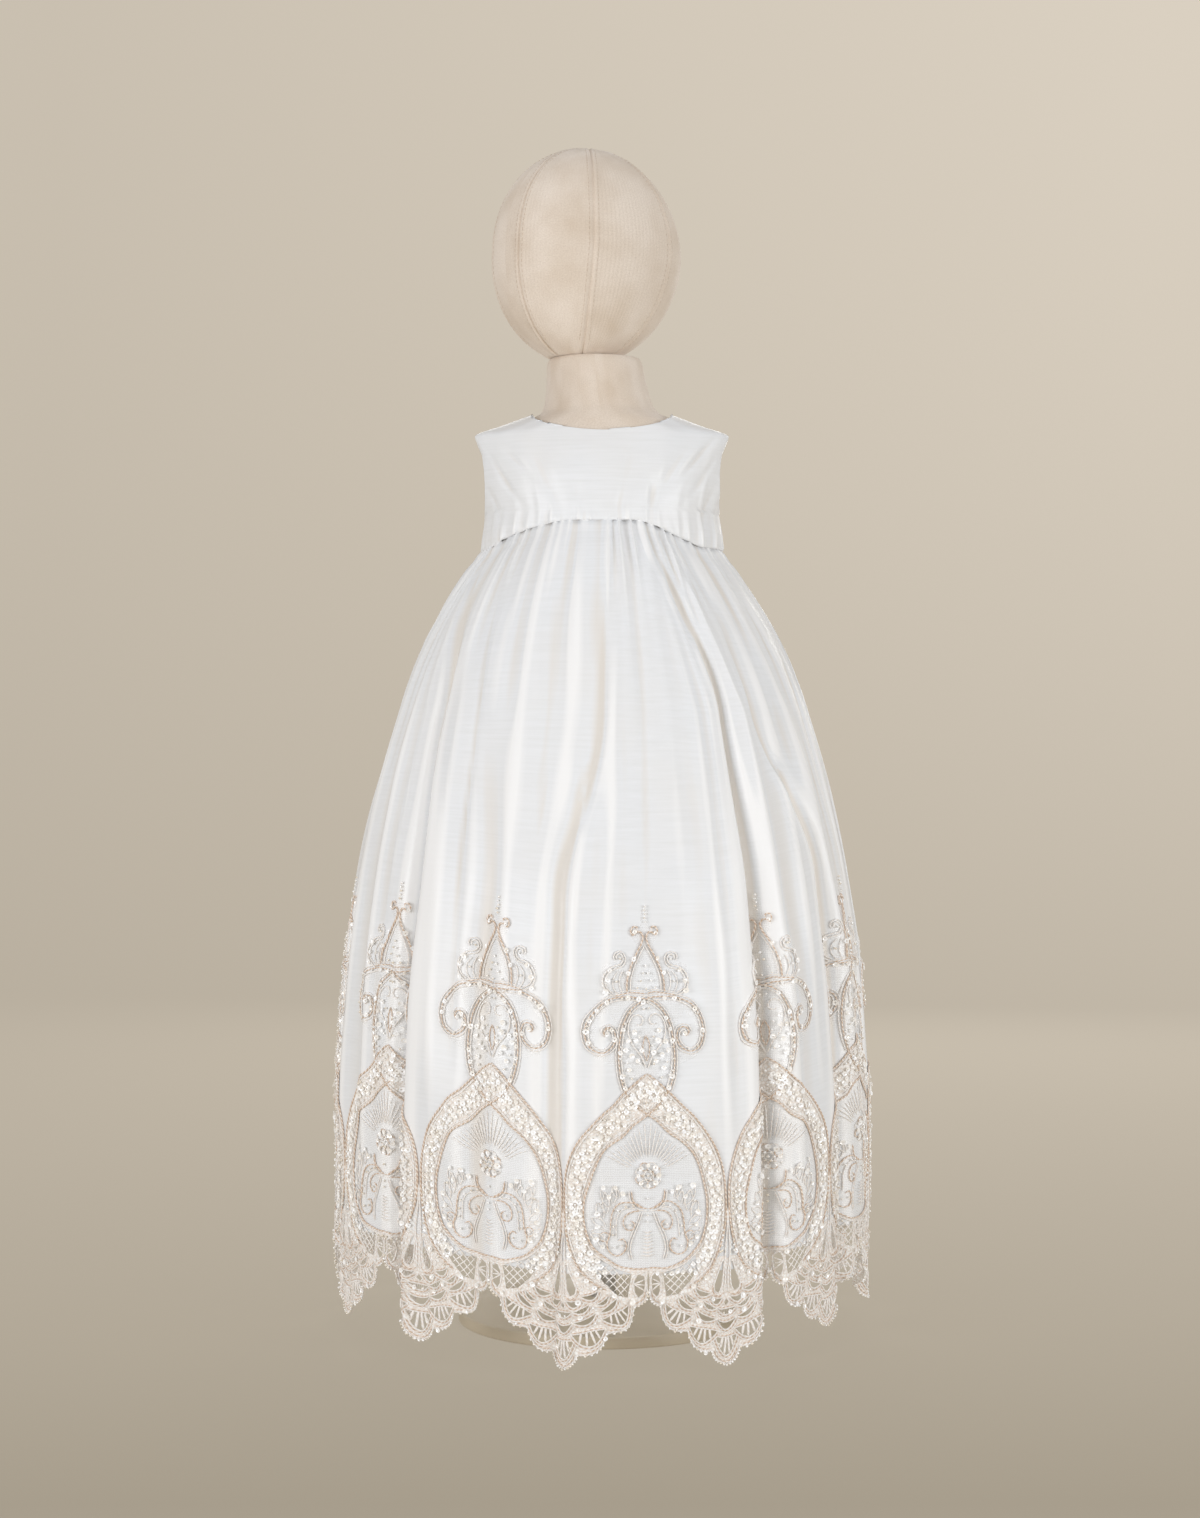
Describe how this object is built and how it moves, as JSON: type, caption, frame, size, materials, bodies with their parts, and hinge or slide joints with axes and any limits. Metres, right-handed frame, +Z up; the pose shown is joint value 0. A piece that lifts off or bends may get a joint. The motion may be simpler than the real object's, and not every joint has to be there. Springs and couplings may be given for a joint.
{
  "type": "christening gown on a dress form",
  "caption": "Sleeveless ivory christening gown with a gathered full-length skirt and a corded, sequinned lace border, on a limbless dress form.",
  "frame": {"origin": "centre of the stand base's underside, on the floor", "axes": "+Z up, -Y the gown's front, +X the wearer's left"},
  "size_m": [0.4096, 0.376, 0.8961],
  "materials": {
    "silk": "ivory silk shantung, fine horizontal slubs, soft satin sheen",
    "lace": "champagne corded lace on net, with pearl sequins and beads",
    "jersey": "cream cotton jersey, matt",
    "pole": "brushed",
    "foot": "cream satin paint"
  },
  "bodies": {
    "root": {"bodice_front": "silk", "bodice_back_left": "silk", "bodice_back_right": "silk", "back_button_1": "silk", "back_button_2": "silk", "back_button_3": "silk", "skirt_front": "silk", "skirt_back": "silk", "lace_front": "lace", "lace_back": "lace", "form_torso": "jersey", "form_head": "jersey", "stand_pole": "pole", "stand_base": "foot"}
  },
  "joints": []
}
